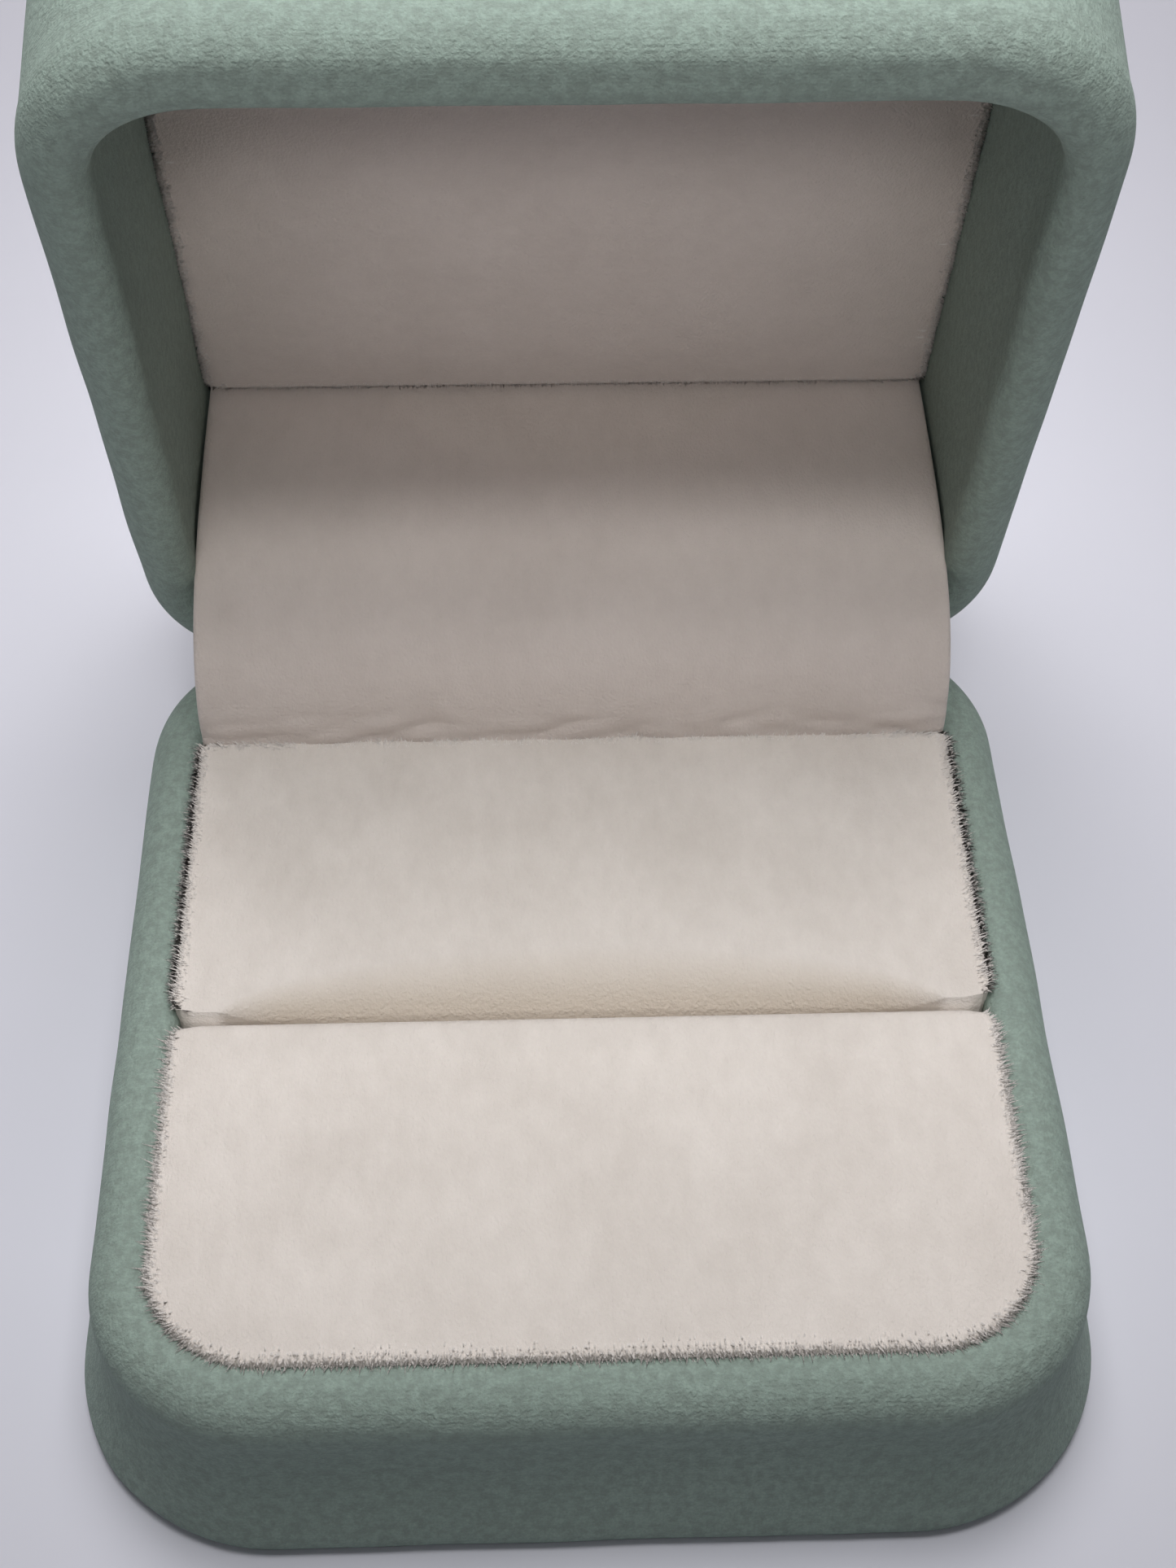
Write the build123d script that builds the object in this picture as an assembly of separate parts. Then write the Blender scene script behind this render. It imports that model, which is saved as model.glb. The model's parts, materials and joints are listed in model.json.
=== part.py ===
from build123d import *
import os
from math import cos, radians, sin, tan

# A padded ring box, standing open. Millimetres, +Z up, +Y towards the hinge.
# The origin is the middle of the base's underside.

# Plan of the rim where base and lid meet: a square with round corners.
PLAN_W = 65.0
PLAN_D = 66.0
PLAN_R = 11.5
RIM_WALL = 3.9            # thickness of the padded wall at the rim
RIM_ROUND = 1.65          # radius of the rim's two top edges
WAIST_DEPTH = 4.0         # below this distance from the crest the wall starts to flare

# Heights are measured along the wall, from the crest of its rim.
BASE_HEIGHT = 15.5
BASE_FLARE = 2.5          # how far the foot stands out past the rim on each side
BASE_EDGE_ROUND = 1.0
LID_HEIGHT = 25.2
LID_FLARE = 0.6
LID_EDGE_ROUND = 3.0
RIM_GAP = 0.3             # between the two crests when the box is shut

# Layers of the wall, and of the lid's top.
CLOTH = 0.7               # green microfibre with its thin foam backing
PADDING_DEPTH = 3.0       # the rim's foam bead reaches this far down from the crest
LINING_DEPTH = 9.0        # the cloth turned inside reaches this far down from the crest
FLOOR = 1.5
LID_TOP_FOAM = 0.8

# Hinge, just inside the rear wall, on the plane where the rims meet.
HINGE_INSET = 3.0
OPEN_ANGLE = 78.0
REAR_SLOPE = 43.0         # rear walls fall away at this angle, so that the lid can swing down
PIN_R = 0.7
KNUCKLE_R = 1.4
FIXED_BORE_R = 0.7
RUNNING_BORE_R = 0.76
KNUCKLE_SLOT_R = 1.8      # room for the knuckles in both rear walls
KNUCKLE_PITCH = 6.0
KNUCKLE_GAP = 0.3
LEAF_T = 0.5
LEAF_REACH = 10.5         # from the hinge axis to the far edge of a leaf
LEAF_START = 2.0          # a leaf is notched this far round the other leaf's knuckles
RIVET_X = 10.0
RIVET_REACH = 6.2         # rivets sit this far from the hinge axis
RIVET_R = 0.9
RIVET_HEAD_R = 1.7
RIVET_HEAD_T = 0.5
RIVET_GRIP = 3.6
SPRING_T = 0.35
SPRING_W = 12.0

# Inside fittings.
BOARD_T = 1.2
VELVET = 0.6
SIDE_CLEARANCE = 0.2      # between a fitting and the cloth lining
CUSHION_TOP = 15.2
CUSHION_BACK = 21.4
SLOT_Y = -3.6             # ring slot between the two cushions
SLOT_GAP = 0.3
SLOT_ROLL = 4.5           # the rear cushion rolls down into the slot with this radius
CUSHION_ROUND = 1.2
LID_PAD_DEPTH = 19.15     # from the lid's crest to the face of its pad
LID_PAD_BOARD_T = 1.0
FLAP_WIDTH = 56.8
FLAP_VELVET = 0.7
FLAP_CARD = 0.5
FLAP_BOTTOM = 4.5
FLAP_BEND_START = (21.6, 15.2)
FLAP_BEND_MIDDLE = (26.2, 22.5)
FLAP_BEND_END = (36.5, 27.0)
FLAP_END = (49.3, 27.3)

HINGE_Y = PLAN_D / 2 - HINGE_INSET
HINGE_Z = BASE_HEIGHT + RIM_GAP / 2
INNER_FRONT = -(PLAN_D / 2 - RIM_WALL)
HINGE_AXIS = Axis((0, HINGE_Y, HINGE_Z), (1, 0, 0))
FAR = 80.0                # longer than anything in the box


def outline(grow, z):
    """The plan outline, grown outwards by grow, at height z."""
    shape = RectangleRounded(PLAN_W + 2 * grow, PLAN_D + 2 * grow, PLAN_R + grow)
    return Pos(0, 0, z) * shape


def prism(grow, bottom, top):
    """An upright block of the plan outline."""
    return extrude(outline(grow, bottom), top - bottom)


def wall(height, flare, edge_round, inset):
    """The box wall with its crest at z = 0, drawn inset below its finished surface all round."""
    skirt = loft([outline(flare - inset, inset - height), outline(-inset, -WAIST_DEPTH)], ruled=True)
    if edge_round > inset:
        low_edges = skirt.faces().sort_by(Axis.Z)[0].edges()
        skirt = fillet(low_edges, edge_round - inset)
    rim = prism(-inset, -WAIST_DEPTH, -inset) - prism(inset - RIM_WALL, -WAIST_DEPTH, 0)
    rim = fillet(rim.faces().sort_by(Axis.Z)[-1].edges(), RIM_ROUND - inset)
    bore = prism(inset - RIM_WALL, -height, 0)
    return (skirt - bore) + rim - rear_slope(inset)


def rear_slope(inset):
    """The wedge taken off a rear wall behind the hinge line."""
    start = HINGE_INSET + inset / sin(radians(REAR_SLOPE))
    fall = (start + HINGE_INSET) * tan(radians(REAR_SLOPE))
    front = PLAN_D / 2 - start
    back = PLAN_D / 2 + HINGE_INSET
    z = RIM_GAP / 2
    wedge = Polygon((front, z), (back, z - fall), (back, HINGE_INSET), (front, HINGE_INSET), align=None)
    return extrude(Plane.YZ * wedge, FAR / 2, both=True)


def knuckle_slot():
    """Room for the knuckles, in the frame of a wall with its crest at z = 0."""
    length = 5 * KNUCKLE_PITCH + 2.0
    return Pos(0, HINGE_Y, RIM_GAP / 2) * Rot(0, 90, 0) * Cylinder(KNUCKLE_SLOT_R, length)


def to_base(shape):
    """Stands a wall-frame shape up as part of the base."""
    return Pos(0, 0, BASE_HEIGHT) * shape


def to_shut_lid(shape):
    """Turns a wall-frame shape over, as part of the lid of the shut box."""
    return Pos(0, 0, BASE_HEIGHT + RIM_GAP) * mirror(shape, about=Plane.XY)


def open_lid(shape):
    """Swings a part of the shut lid to where it stands open."""
    return shape.rotate(HINGE_AXIS, -OPEN_ANGLE)


def rivets(head_y, direction):
    """Two rivets, heads inside the box, through a leaf and into the rear wall."""
    result = []
    for x in (-RIVET_X, RIVET_X):
        at = Pos(x, head_y, HINGE_Z + direction * RIVET_REACH) * Rot(-90, 0, 0)
        head = extrude(Circle(RIVET_HEAD_R), RIVET_HEAD_T)
        head = fillet(head.faces().sort_by(Axis.Z)[0].edges(), RIVET_HEAD_T * 0.6)
        shank = extrude(Circle(RIVET_R), RIVET_GRIP + RIVET_HEAD_T)
        result.append(at * (head + shank))
    return result


def hinge_leaf(own_knuckles, other_knuckles, bore_r, direction):
    """One steel leaf: a plate against the rear wall, and the knuckles it is curled into."""
    plate_y = HINGE_Y - KNUCKLE_R + LEAF_T / 2
    width = 5 * KNUCKLE_PITCH - KNUCKLE_GAP
    plate_z = HINGE_Z + direction * LEAF_REACH / 2
    leaf = Pos(0, plate_y, plate_z) * Box(width, LEAF_T, LEAF_REACH)
    for place in other_knuckles:
        notch = Box(KNUCKLE_PITCH + KNUCKLE_GAP, 2 * LEAF_T, 2 * LEAF_START)
        leaf -= Pos(place * KNUCKLE_PITCH, plate_y, HINGE_Z) * notch
    for place in own_knuckles:
        curl = Rot(0, 90, 0) * Cylinder(KNUCKLE_R, KNUCKLE_PITCH - KNUCKLE_GAP)
        leaf += Pos(place * KNUCKLE_PITCH, HINGE_Y, HINGE_Z) * curl
    leaf -= Pos(0, HINGE_Y, HINGE_Z) * Rot(0, 90, 0) * Cylinder(bore_r, FAR)
    return leaf


def snap_spring():
    """The bowed steel strip that pulls the lid over centre, from leaf to leaf."""
    foot_y = HINGE_Y - KNUCKLE_R - SPRING_T
    foot_z = HINGE_Z - LEAF_REACH + 1.5
    reach = Vector(0, foot_y - HINGE_Y, HINGE_Z - foot_z)
    turned = reach.rotate(Axis.X, -OPEN_ANGLE)
    lid_foot = Vector(0, HINGE_Y, HINGE_Z) + turned
    turn = radians(OPEN_ANGLE / 2)
    bow = 3.6
    middle = Vector(0, HINGE_Y - bow * cos(turn), HINGE_Z + bow * sin(turn))
    path = ThreePointArc((0, foot_y, foot_z), middle, lid_foot)
    section = Plane(origin=path @ 0, z_dir=path % 0, x_dir=(1, 0, 0)) * Rectangle(SPRING_W, SPRING_T)
    return sweep(section, path=path)


def flap_strip(start, thickness):
    """A layer of the hinge flap: up behind the cushion, over the hinge, in behind the lid pad."""
    front = flap_line(start)
    back = flap_line(start + thickness)
    ends = [Line(front @ 0, back @ 0), Line(front @ 1, back @ 1)]
    side = make_face(Wire([*front.edges(), *back.edges(), *[end.edge() for end in ends]]))
    return extrude(side, FLAP_WIDTH / 2, both=True)


def flap_line(offset):
    """The flap's line in the YZ plane, moved back from its face by offset."""
    turn = radians(45)
    rise = (0, FLAP_BEND_START[0] + offset, FLAP_BOTTOM)
    bend_start = (0, FLAP_BEND_START[0] + offset, FLAP_BEND_START[1])
    bend_middle = (0, FLAP_BEND_MIDDLE[0] + offset * cos(turn), FLAP_BEND_MIDDLE[1] - offset * sin(turn))
    bend_end = (0, FLAP_BEND_END[0], FLAP_BEND_END[1] - offset)
    end = (0, FLAP_END[0], FLAP_END[1] - offset)
    return Wire([Line(rise, bend_start).edge(), ThreePointArc(bend_start, bend_middle, bend_end).edge(),
                 Line(bend_end, end).edge()])


def cushion_block(front, back, corner_r, roll, inset):
    """A cushion from the board up, drawn inset below its finished surface."""
    half = PLAN_W / 2 - RIM_WALL - SIDE_CLEARANCE - inset
    bottom = CLOTH + FLOOR + BOARD_T
    top = CUSHION_TOP - inset
    length = back - front - 2 * inset
    block = Pos(0, (front + back) / 2, (bottom + top) / 2) * Box(2 * half, length, top - bottom)
    uprights = block.edges().filter_by(Axis.Z).group_by(Axis.Y)
    block = fillet(uprights[0], corner_r - inset)
    rear_top = block.edges().group_by(Axis.Z)[-1].sort_by(Axis.Y)
    if roll > 0:
        block = fillet(rear_top[0], roll - inset)
    else:
        block = fillet(block.edges().group_by(Axis.Z)[-1], CUSHION_ROUND - inset)
    return block


def cushion(front, back, corner_r, roll):
    """A cushion's foam and the velvet over it, open underneath."""
    whole = cushion_block(front, back, corner_r, roll, 0)
    foam = cushion_block(front, back, corner_r, roll, VELVET)
    return foam, whole - foam


def inner_block(bottom, top, grow):
    """A fitting that fills the plan inside the lining, from the front to the flap."""
    block = prism(grow - RIM_WALL, bottom, top)
    return block - Pos(0, CUSHION_BACK + FAR / 2, 0) * Box(2 * FAR, FAR, FAR)


def base_parts():
    """Everything that stays with the base."""
    whole = wall(BASE_HEIGHT, BASE_FLARE, BASE_EDGE_ROUND, 0)
    inside = wall(BASE_HEIGHT, BASE_FLARE, 0, CLOTH)
    slot = knuckle_slot()
    pins = rivets(HINGE_Y - KNUCKLE_R - RIVET_HEAD_T, -1)
    unlined = prism(CLOTH - RIM_WALL, CLOTH - BASE_HEIGHT, -LINING_DEPTH)
    above = Pos(0, 0, -PADDING_DEPTH / 2) * Box(2 * FAR, 2 * FAR, PADDING_DEPTH)
    floor = prism(CLOTH - RIM_WALL, CLOTH - BASE_HEIGHT, CLOTH + FLOOR - BASE_HEIGHT)
    shell = to_base(inside - above + floor - slot)
    cover = to_base(whole - inside - unlined - slot)
    for pin in pins:
        shell -= pin
        cover -= pin
    leaf = hinge_leaf((-2, 0, 2), (-1, 1), FIXED_BORE_R, -1)
    for pin in pins:
        leaf -= pin
    front_foam, front_velvet = cushion(INNER_FRONT + SIDE_CLEARANCE, SLOT_Y, PLAN_R - RIM_WALL, 0)
    rear_foam, rear_velvet = cushion(SLOT_Y + SLOT_GAP, CUSHION_BACK, 1.0, SLOT_ROLL)
    board_top = CLOTH + FLOOR + BOARD_T
    pin = Pos(0, HINGE_Y, HINGE_Z) * Rot(0, 90, 0) * Cylinder(PIN_R, 5 * KNUCKLE_PITCH + 0.6)
    return {
        "base_shell": shell,
        "base_cover": cover,
        "base_rim_padding": to_base(inside & above) - to_base(slot),
        "base_underside_panel": to_base(prism(-RIM_WALL, -BASE_HEIGHT, CLOTH - BASE_HEIGHT)),
        "cushion_board": inner_block(board_top - BOARD_T, board_top, -SIDE_CLEARANCE),
        "front_cushion_foam": front_foam,
        "front_cushion_velvet": front_velvet,
        "rear_cushion_foam": rear_foam,
        "rear_cushion_velvet": rear_velvet,
        "base_hinge_leaf": leaf,
        "base_leaf_rivets": Compound(pins),
        "hinge_pin": pin,
        "snap_spring": snap_spring(),
        "hinge_flap_velvet": flap_strip(0, FLAP_VELVET),
        "hinge_flap_card": flap_strip(FLAP_VELVET, FLAP_CARD),
    }


def lid_parts():
    """Everything that swings with the lid, drawn shut."""
    whole = wall(LID_HEIGHT, LID_FLARE, LID_EDGE_ROUND, 0)
    inside = wall(LID_HEIGHT, LID_FLARE, LID_EDGE_ROUND, CLOTH)
    slot = knuckle_slot()
    pins = rivets(HINGE_Y - KNUCKLE_R - RIVET_HEAD_T, 1)
    unlined = prism(CLOTH - RIM_WALL, CLOTH - LID_HEIGHT, 1.0 - LID_PAD_DEPTH)
    above = Pos(0, 0, -PADDING_DEPTH / 2) * Box(2 * FAR, 2 * FAR, PADDING_DEPTH)
    top_out = CLOTH - LID_HEIGHT
    top_in = top_out + LID_TOP_FOAM + FLOOR
    top_plate = prism(CLOTH - RIM_WALL, top_out, top_in)
    top_foam = prism(CLOTH - RIM_WALL, top_out, top_out + LID_TOP_FOAM)
    top_cloth = prism(CLOTH - RIM_WALL, -LID_HEIGHT, top_out)
    shell = to_shut_lid(inside - above + top_plate - top_foam - slot)
    cover = to_shut_lid(whole + top_cloth - inside - unlined - slot)
    for pin in pins:
        shell -= pin
        cover -= pin
    leaf = hinge_leaf((-1, 1), (-2, 0, 2), RUNNING_BORE_R, 1)
    for pin in pins:
        leaf -= pin
    board_z = top_in + LID_PAD_BOARD_T
    board = inner_block(top_in, board_z, -SIDE_CLEARANCE)
    pad = inner_block(board_z, -LID_PAD_DEPTH, -SIDE_CLEARANCE)
    pad = fillet(pad.faces().sort_by(Axis.Z)[-1].edges(), CUSHION_ROUND)
    foam = inner_block(board_z, -LID_PAD_DEPTH - VELVET, -SIDE_CLEARANCE - VELVET)
    foam -= Pos(0, CUSHION_BACK, 0) * Box(2 * FAR, 2 * VELVET, FAR)
    return {
        "lid_shell": shell,
        "lid_cover": cover,
        "lid_rim_padding": to_shut_lid((inside & above) - slot),
        "lid_top_padding": to_shut_lid(top_foam),
        "lid_pad_board": to_shut_lid(board),
        "lid_pad_foam": to_shut_lid(foam),
        "lid_pad_velvet": to_shut_lid(pad - foam),
        "lid_hinge_leaf": leaf,
        "lid_leaf_rivets": Compound(pins),
    }


os.makedirs("parts", exist_ok=True)
for name, shape in base_parts().items():
    export_step(shape, f"parts/{name}.step")
for name, shape in lid_parts().items():
    export_step(open_lid(shape), f"parts/{name}.step")
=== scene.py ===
import json
import random
from math import cos, exp, hypot, pi, radians, sin, tan

import bmesh
import bpy
from mathutils import Matrix, Quaternion, Vector, noise
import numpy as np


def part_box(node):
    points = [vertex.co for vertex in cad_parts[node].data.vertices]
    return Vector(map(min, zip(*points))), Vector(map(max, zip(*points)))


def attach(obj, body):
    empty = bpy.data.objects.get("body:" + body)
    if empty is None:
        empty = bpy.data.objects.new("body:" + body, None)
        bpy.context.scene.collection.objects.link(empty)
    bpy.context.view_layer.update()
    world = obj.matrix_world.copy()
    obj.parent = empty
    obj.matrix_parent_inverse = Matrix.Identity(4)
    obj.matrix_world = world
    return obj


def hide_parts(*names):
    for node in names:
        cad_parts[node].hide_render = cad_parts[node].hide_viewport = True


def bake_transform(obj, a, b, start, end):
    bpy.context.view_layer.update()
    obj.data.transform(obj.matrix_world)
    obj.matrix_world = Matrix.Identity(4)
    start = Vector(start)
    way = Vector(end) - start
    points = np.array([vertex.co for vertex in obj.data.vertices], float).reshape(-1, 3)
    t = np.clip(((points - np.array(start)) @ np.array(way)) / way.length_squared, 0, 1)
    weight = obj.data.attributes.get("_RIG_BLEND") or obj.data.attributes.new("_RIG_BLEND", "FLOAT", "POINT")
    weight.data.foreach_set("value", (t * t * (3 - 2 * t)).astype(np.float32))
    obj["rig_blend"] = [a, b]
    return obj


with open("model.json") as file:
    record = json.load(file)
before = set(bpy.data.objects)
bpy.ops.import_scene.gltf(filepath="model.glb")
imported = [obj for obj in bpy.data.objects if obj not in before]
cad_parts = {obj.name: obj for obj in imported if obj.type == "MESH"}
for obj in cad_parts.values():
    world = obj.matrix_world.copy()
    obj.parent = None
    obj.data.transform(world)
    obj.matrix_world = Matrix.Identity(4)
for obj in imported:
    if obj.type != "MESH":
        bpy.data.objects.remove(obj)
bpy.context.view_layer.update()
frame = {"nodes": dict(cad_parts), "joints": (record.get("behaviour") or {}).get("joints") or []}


# Moulded cores of the base and the lid.
# Thin grey-green plastic trays with a matt, faintly pebbled mould finish. They carry the
# foam, the cloth and the hinge, and nothing of them shows when the box is whole.
def new_material(name, roughness):
    """A fresh material, its node tree and its shader."""
    made = bpy.data.materials.new(name)
    made.use_nodes = True
    shader = made.node_tree.nodes["Principled BSDF"]
    shader.inputs["Roughness"].default_value = roughness
    return made, made.node_tree, shader


def new_group(name, inputs, outputs):
    """A fresh node group, with what comes into it and what it puts out."""
    group = bpy.data.node_groups.new(name, "ShaderNodeTree")
    for side, sockets in (("INPUT", inputs), ("OUTPUT", outputs)):
        for socket, kind in sockets:
            group.interface.new_socket(name=socket, in_out=side, socket_type="NodeSocket" + kind)
    return group, group.nodes.new("NodeGroupInput").outputs, group.nodes.new("NodeGroupOutput").inputs


def grain_group():
    """Soft cloudy noise on the piece itself, stretched between two levels."""
    inputs = [(level, "Float") for level in ("Scale", "Detail", "Low", "High")]
    group, given, made = new_group("grain", inputs + [("Stretch", "Vector")], [("Value", "Float")])
    place = group.nodes.new("ShaderNodeTexCoord")
    stretch = group.nodes.new("ShaderNodeVectorMath")
    stretch.operation = "MULTIPLY"
    cloud = group.nodes.new("ShaderNodeTexNoise")
    cloud.inputs["Roughness"].default_value = 0.6
    levels = group.nodes.new("ShaderNodeMapRange")
    group.links.new(place.outputs["Object"], stretch.inputs[0])
    group.links.new(given["Stretch"], stretch.inputs[1])
    group.links.new(stretch.outputs["Vector"], cloud.inputs["Vector"])
    group.links.new(given["Scale"], cloud.inputs["Scale"])
    group.links.new(given["Detail"], cloud.inputs["Detail"])
    group.links.new(cloud.outputs["Fac"], levels.inputs["Value"])
    group.links.new(given["Low"], levels.inputs["From Min"])
    group.links.new(given["High"], levels.inputs["From Max"])
    group.links.new(levels.outputs["Result"], made["Value"])
    return group


GRAIN = grain_group()


def grain(tree, size, low=0.3, high=0.7, detail=3.0, stretch=(1, 1, 1)):
    """Noise whose patches are about size metres across."""
    placed = tree.nodes.new("ShaderNodeGroup")
    placed.node_tree = GRAIN
    placed.inputs["Scale"].default_value = 1 / size
    placed.inputs["Detail"].default_value = detail
    placed.inputs["Low"].default_value = low
    placed.inputs["High"].default_value = high
    placed.inputs["Stretch"].default_value = stretch
    return placed.outputs["Value"]


def two_tone(tree, factor, first, second):
    """A colour between first and second; each is a colour or another node's output."""
    mix = tree.nodes.new("ShaderNodeMix")
    mix.data_type = "RGBA"
    tree.links.new(factor, mix.inputs["Factor"])
    for socket, colour in (("A", first), ("B", second)):
        wanted = next(i for i in mix.inputs if i.name == socket and i.type == "RGBA")
        if isinstance(colour, tuple):
            wanted.default_value = (*colour, 1)
        else:
            tree.links.new(colour, wanted)
    return next(o for o in mix.outputs if o.type == "RGBA")


def bump(tree, shader, height, distance, strength=1.0):
    """Raises the surface by up to distance metres, over any bump it has."""
    node = tree.nodes.new("ShaderNodeBump")
    node.inputs["Distance"].default_value = distance
    node.inputs["Strength"].default_value = strength
    tree.links.new(height, node.inputs["Height"])
    for link in shader.inputs["Normal"].links:
        tree.links.new(link.from_socket, node.inputs["Normal"])
    tree.links.new(node.outputs["Normal"], shader.inputs["Normal"])


def coat(nodes, made):
    """Gives CAD nodes a material."""
    for name in nodes:
        frame["nodes"][name].data.materials.clear()
        frame["nodes"][name].data.materials.append(made)


def core_plastic():
    made, tree, shader = new_material("core_plastic", 0.55)
    tone = two_tone(tree, grain(tree, 0.006), (0.085, 0.105, 0.095), (0.11, 0.13, 0.12))
    tree.links.new(tone, shader.inputs["Base Color"])
    bump(tree, shader, grain(tree, 0.0004), 0.00003)
    return made


coat(("base_shell", "lid_shell"), core_plastic())


# Foam: a bead round each rim, and a thin sheet over the lid's top.
# Off-white open-cell foam, glued to the cores before the cloth is drawn over it.
def open_cell_foam():
    made, tree, shader = new_material("foam", 0.95)
    tone = two_tone(tree, grain(tree, 0.0006), (0.60, 0.58, 0.52), (0.74, 0.72, 0.66))
    tree.links.new(tone, shader.inputs["Base Color"])
    cells = tree.nodes.new("ShaderNodeTexVoronoi")
    cells.inputs["Scale"].default_value = 1 / 0.0005
    place = tree.nodes.new("ShaderNodeTexCoord")
    tree.links.new(place.outputs["Object"], cells.inputs["Vector"])
    bump(tree, shader, cells.outputs["Distance"], 0.0001)
    return made


FOAM = open_cell_foam()
coat(("base_rim_padding", "lid_rim_padding", "lid_top_padding"), FOAM)


# Grey boards under the cushions and behind the lid's pad.
# Pressed card, cut to the plan and glued in. Flecks of darker fibre show in it.
def pressed_card():
    made, tree, shader = new_material("greyboard", 0.9)
    flecks = grain(tree, 0.0008, 0.45, 0.7, 4.0, (1, 3, 1))
    tone = two_tone(tree, flecks, (0.27, 0.25, 0.21), (0.36, 0.34, 0.30))
    tree.links.new(tone, shader.inputs["Base Color"])
    bump(tree, shader, grain(tree, 0.0003), 0.00004)
    return made


CARD = pressed_card()
coat(("cushion_board", "lid_pad_board"), CARD)


# Underside panel: felt-faced board let into the foot.
# It hides the turned-under edges of the cloth, and the box rests on its dark felt.
def felt():
    made, tree, shader = new_material("underside_felt", 0.95)
    shader.inputs["Sheen Weight"].default_value = 0.3
    fibres = grain(tree, 0.0007, 0.35, 0.65, 4.0, (1, 2.5, 1))
    tone = two_tone(tree, fibres, (0.020, 0.030, 0.024), (0.045, 0.060, 0.050))
    tree.links.new(tone, shader.inputs["Base Color"])
    bump(tree, shader, fibres, 0.0001)
    return made


coat(("base_underside_panel",), felt())


# Hinge: two steel leaves curled round a pin, riveted to the rear walls.
# Nickel-plated spring steel, brushed along the leaf, a little dulled round the knuckles.
def plated_steel():
    made, tree, shader = new_material("hinge_steel", 0.3)
    shader.inputs["Metallic"].default_value = 1.0
    brushing = grain(tree, 0.0004, 0.3, 0.7, 3.0, (1, 12, 12))
    tone = two_tone(tree, brushing, (0.50, 0.50, 0.48), (0.66, 0.66, 0.64))
    tree.links.new(tone, shader.inputs["Base Color"])
    dull = tree.nodes.new("ShaderNodeMapRange")
    dull.inputs["To Min"].default_value = 0.24
    dull.inputs["To Max"].default_value = 0.42
    tree.links.new(grain(tree, 0.002), dull.inputs["Value"])
    tree.links.new(dull.outputs["Result"], shader.inputs["Roughness"])
    bump(tree, shader, brushing, 0.000006)
    return made


STEEL = plated_steel()
coat(("base_hinge_leaf", "lid_hinge_leaf", "hinge_pin", "base_leaf_rivets", "lid_leaf_rivets"), STEEL)


# Snap spring: a bowed strip of spring steel from leaf to leaf, which pulls the lid over centre.
# It flexes as the lid swings, so it bends between the two bodies.
HINGE = Vector(frame["joints"][0]["pos_m"])
SHUT_TURN = radians(frame["joints"][0]["range_deg"][1])
SPRING_W = 0.012
SPRING_THICK = 0.00035


def piece_from(name, shape, made):
    """Makes a finished, smooth-shaded piece of a bmesh."""
    mesh = bpy.data.meshes.new(name)
    shape.to_mesh(mesh)
    shape.free()
    mesh.shade_smooth()
    mesh.materials.append(made)
    piece = bpy.data.objects.new(name, mesh)
    bpy.context.scene.collection.objects.link(piece)
    return piece


def strip(width, columns, line):
    """A sheet drawn along a line of (y, z) points, width metres across."""
    shape = bmesh.new()
    first = [shape.verts.new((width * (i / columns - 0.5), *line[0])) for i in range(columns + 1)]
    edges = [shape.edges.new(pair) for pair in zip(first, first[1:])]
    for y, z in line[1:]:
        grown = bmesh.ops.extrude_edge_only(shape, edges=edges)["geom"]
        edges = [g for g in grown if isinstance(g, bmesh.types.BMEdge)]
        for vert in (g for g in grown if isinstance(g, bmesh.types.BMVert)):
            vert.co.yz = (y, z)
        edges = [e for e in edges if all(abs(v.co.y - y) + abs(v.co.z - z) < 1e-9 for v in e.verts)]
    bmesh.ops.recalc_face_normals(shape, faces=shape.faces)
    return shape


def thicken(piece, thickness, side):
    """Live modifiers that give a sheet its thickness and round its facets off."""
    solid = piece.modifiers.new("thickness", "SOLIDIFY")
    solid.thickness = thickness
    solid.offset = side
    smooth = piece.modifiers.new("smooth", "SUBSURF")
    smooth.levels = 1
    smooth.render_levels = 1


def spring_line():
    """The bow, symmetric about the line that halves the lid's swing, as (y, z) points."""
    foot = Vector((-0.00175, -0.0090))
    inward = Vector((-cos(SHUT_TURN / 2), sin(SHUT_TURN / 2)))
    upward = Vector((inward.y, -inward.x))
    bow = 0.0036
    sweep = pi * 0.985
    back, half = foot.dot(inward), abs(foot.dot(upward))
    centre = (back ** 2 + half ** 2 - bow ** 2) / (2 * (back - bow))
    radius = bow - centre
    steps = 20
    line = []
    for i in range(steps + 1):
        angle = (i / steps - 0.5) * sweep
        place = inward * (centre + radius * cos(angle)) + upward * radius * sin(angle)
        line.append((HINGE.y + place.x, HINGE.z + place.y))
    return line


def bend_over_hinge(piece, line, start, end):
    """Lets a piece bend from the base to the lid between two points of its (y, z) line."""
    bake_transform(piece, "base", "lid", start=(0, *line[start]), end=(0, *line[end]))


bow_line = spring_line()
spring = piece_from("snap_spring_strip", strip(SPRING_W, 6, bow_line), STEEL)
thicken(spring, SPRING_THICK, 0)
bend_over_hinge(spring, bow_line, 2, -3)
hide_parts("snap_spring")


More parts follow.
